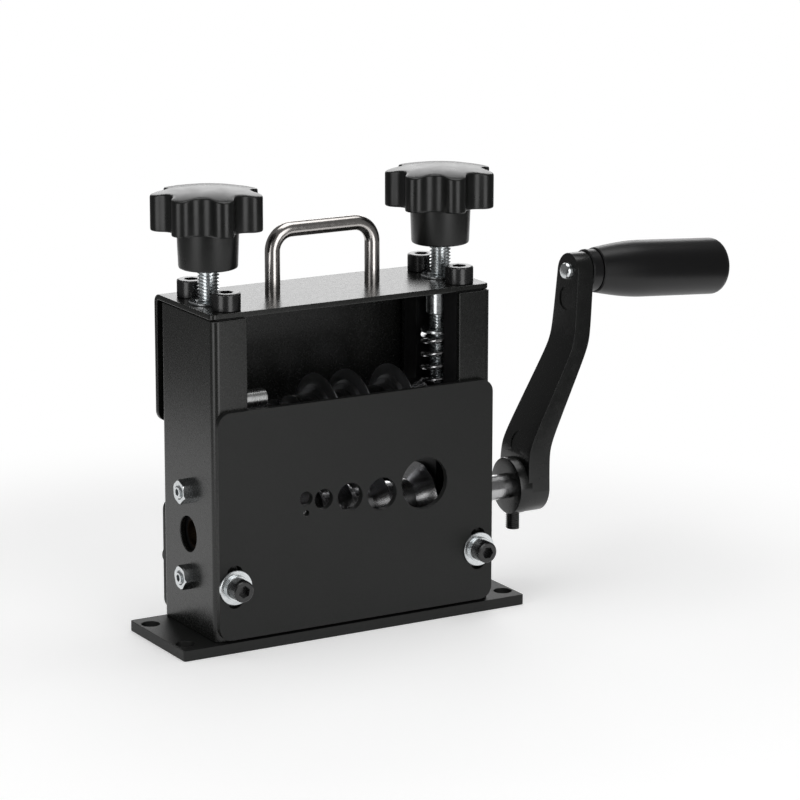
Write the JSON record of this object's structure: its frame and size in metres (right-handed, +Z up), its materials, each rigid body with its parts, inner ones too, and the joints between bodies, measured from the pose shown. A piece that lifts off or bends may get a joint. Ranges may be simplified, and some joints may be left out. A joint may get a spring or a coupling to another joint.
{
  "type": "hand crank wire stripper",
  "caption": "Bench wire stripper with a hand crank, grooved drive rollers, spring-loaded cutter wheels set by star knobs, and a slotted feed plate in a black folded steel housing.",
  "frame": {"origin": "middle of the base plate's four bolt holes, on its underside", "axes": "+X along the drive shaft towards the crank, -Y towards the front where the cable goes in, +Z up"},
  "size_m": [0.3061, 0.0725, 0.2073],
  "materials": {
    "powder_coat": "semigloss black powder coat on folded steel",
    "plate_black": "matte black coating on flat steel plate",
    "knob_plastic": "glossy moulded black plastic",
    "grip_plastic": "satin black turned or moulded plastic",
    "black_oxide": "black oxide on steel screws",
    "zinc": "bright zinc plate",
    "polished_steel": "polished steel",
    "turned_steel": "fine turned steel",
    "tool_steel": "ground tool steel",
    "blackened_steel": "blackened milled steel bar",
    "plain_steel": "plain machined steel",
    "bronze": "sintered bronze",
    "spring_steel": "bright spring steel wire",
    "cast_black": "black painted casting, smooth"
  },
  "bodies": {
    "frame": {"base_plate": "plate_black", "base_screws": "black_oxide", "left_side_channel": "powder_coat", "right_side_channel": "powder_coat", "top_cover": "powder_coat", "cover_screws": "black_oxide", "carry_handle": "polished_steel", "handle_screws": "zinc", "left_rivet_nut": "zinc", "right_rivet_nut": "zinc", "left_guide_frame": "blackened_steel", "right_guide_frame": "blackened_steel", "guide_dowel": "polished_steel", "left_lower_block": "plain_steel", "right_lower_block": "plain_steel", "drive_bushes": "bronze", "side_grub_screws": "zinc", "side_lock_nuts": "zinc", "front_plate_washers": "zinc", "front_plate_bolts": "black_oxide", "rear_exit_plate": "plate_black", "rear_plate_screws": "black_oxide"},
    "feed_plate": {"front_feed_plate": "plate_black"},
    "drive": {"drive_shaft": "turned_steel", "drive_rollers": "turned_steel", "crank_arm": "cast_black", "crank_set_screw": "black_oxide", "grip_axle": "plain_steel", "grip_collar": "grip_plastic"},
    "grip": {"hand_grip": "grip_plastic"},
    "adjuster": {"thrust_washers": "zinc"},
    "left_adjuster_knob": {"left_knob": "knob_plastic", "left_adjusting_screw": "zinc"},
    "right_adjuster_knob": {"right_knob": "knob_plastic", "right_adjusting_screw": "zinc"},
    "blade_carriage": {"left_blade_block": "plain_steel", "right_blade_block": "plain_steel", "blade_bushes": "bronze", "left_spring": "spring_steel", "right_spring": "spring_steel"},
    "blade_spindle": {"blade_shaft": "plain_steel", "cutter_wheels": "tool_steel", "small_cutters": "tool_steel", "spacer_sleeves": "turned_steel"}
  },
  "joints": [
    {"name": "feed_plate_slide", "type": "slide", "parent": "frame", "child": "feed_plate", "axis": [0, 0, 1], "range_m": [-0.001, 0.0065]},
    {"name": "crank_turn", "type": "hinge", "parent": "frame", "child": "drive", "pos_m": [0, 0.002, 0.04975], "axis": [1, 0, 0], "continuous": true},
    {"name": "grip_turn", "type": "hinge", "parent": "drive", "child": "grip", "pos_m": [0.13901, 0.002, 0.14975], "axis": [0.9976, 0, -0.0698], "continuous": true},
    {"name": "left_knob_turn", "type": "hinge", "parent": "adjuster", "child": "left_adjuster_knob", "pos_m": [-0.06, 0.002, 0], "axis": [0, 0, 1], "range_deg": [-1920.1, 1560.1]},
    {"name": "right_knob_turn", "type": "hinge", "parent": "adjuster", "child": "right_adjuster_knob", "pos_m": [0.06, 0.002, 0], "axis": [0, 0, 1], "range_deg": [-1920.1, 1560.1]},
    {"name": "adjuster_slide", "type": "slide", "parent": "frame", "child": "adjuster", "axis": [0, 0, 1], "range_m": [-0.008, 0.0065]},
    {"name": "blade_float", "type": "slide", "parent": "adjuster", "child": "blade_carriage", "axis": [0, 0, 1], "range_m": [0, 0.003], "stiffness_N_per_m": 17000, "springref_m": -0.001, "deforming": ["left_spring", "right_spring"]},
    {"name": "blade_spindle_turn", "type": "hinge", "parent": "blade_carriage", "child": "blade_spindle", "pos_m": [0, 0.002, 0.092], "axis": [1, 0, 0], "continuous": true}
  ],
  "couplings": [
    {"joint": "left_knob_turn", "follows": "adjuster_slide", "rad_per_m": 4188.8},
    {"joint": "right_knob_turn", "follows": "adjuster_slide", "rad_per_m": 4188.8}
  ]
}
